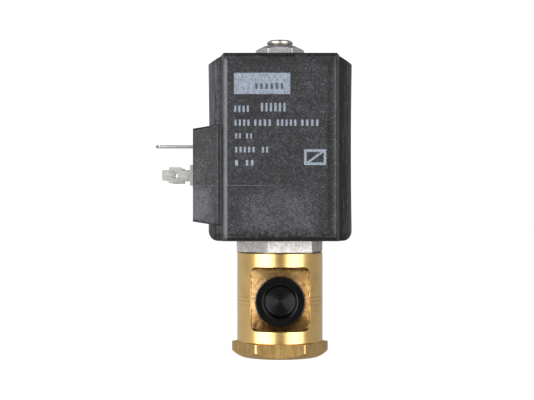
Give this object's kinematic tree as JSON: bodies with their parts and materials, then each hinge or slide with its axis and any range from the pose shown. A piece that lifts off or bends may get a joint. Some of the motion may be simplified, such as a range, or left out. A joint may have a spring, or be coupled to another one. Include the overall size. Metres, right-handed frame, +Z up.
{
  "type": "solenoid valve",
  "caption": "Direct-acting brass solenoid valve with threaded ports, steel guide tube and a black moulded coil with blade connector.",
  "frame": {"origin": "centre of the bottom plug's lower face, on the axis of the guide tube", "axes": "+Z up the guide tube to the coil nut, -Y out of the inlet port and the printed panel, -X out of the blade connector"},
  "size_m": [0.0602, 0.04, 0.0978],
  "materials": {
    "body_brass": "turned and milled, semi-bright",
    "plug_brass": "brushed",
    "insert_brass": "turned",
    "seal_rubber": "matt",
    "stainless_steel": "drawn",
    "blasted_steel": "blasted",
    "core_steel": "turned",
    "spring_steel": "drawn",
    "frame_steel": "zinc plated",
    "zinc_steel": "zinc plated, dull",
    "copper": "copper",
    "case_plastic": "fine-grained satin black",
    "bobbin_plastic": "natural glass-filled",
    "tape": "polyester tape",
    "tinned_blade": "tinned, satin",
    "plug_plastic": "smooth black"
  },
  "bodies": {
    "root": {"valve_body": "body_brass", "bottom_plug": "plug_brass", "bottom_plug_seal": "seal_rubber", "seat_nozzle": "stainless_steel", "tube_flange": "blasted_steel", "tube_seal": "seal_rubber", "guide_tube": "stainless_steel", "fixed_core": "core_steel", "shading_ring": "copper", "nut_washer": "zinc_steel", "coil_nut": "zinc_steel"},
    "plunger": {"plunger": "core_steel", "plunger_disc": "seal_rubber", "plunger_spring": "spring_steel"},
    "coil": {"coil_case": "case_plastic", "bobbin": "bobbin_plastic", "winding": "copper", "winding_tape": "tape", "yoke_frame": "frame_steel", "yoke_plate": "frame_steel", "power_terminal_1": "tinned_blade", "power_terminal_2": "tinned_blade", "earth_terminal": "tinned_blade", "earth_strap": "tinned_blade", "winding_leads": "copper", "connector_insert": "insert_brass", "lower_ring": "seal_rubber", "upper_ring": "seal_rubber"},
    "front_plug": {"port_plug_front": "plug_plastic"},
    "back_plug": {"port_plug_back": "plug_plastic"}
  },
  "joints": [
    {"name": "plunger_lift", "type": "slide", "parent": "root", "child": "plunger", "axis": [0, 0, 1], "range_m": [0, 0.002], "stiffness_N_per_m": 400, "springref_m": -0.004, "deforming": ["plunger_spring"]},
    {"name": "coil_swivel", "type": "hinge", "parent": "root", "child": "coil", "pos_m": [0, 0, 0.0642], "axis": [0, 0, 1], "continuous": true},
    {"name": "front_plug_pull", "type": "slide", "parent": "root", "child": "front_plug", "axis": [0, -1, 0], "range_m": [0, 0.035]},
    {"name": "back_plug_pull", "type": "slide", "parent": "root", "child": "back_plug", "axis": [0, 1, 0], "range_m": [0, 0.035]}
  ]
}
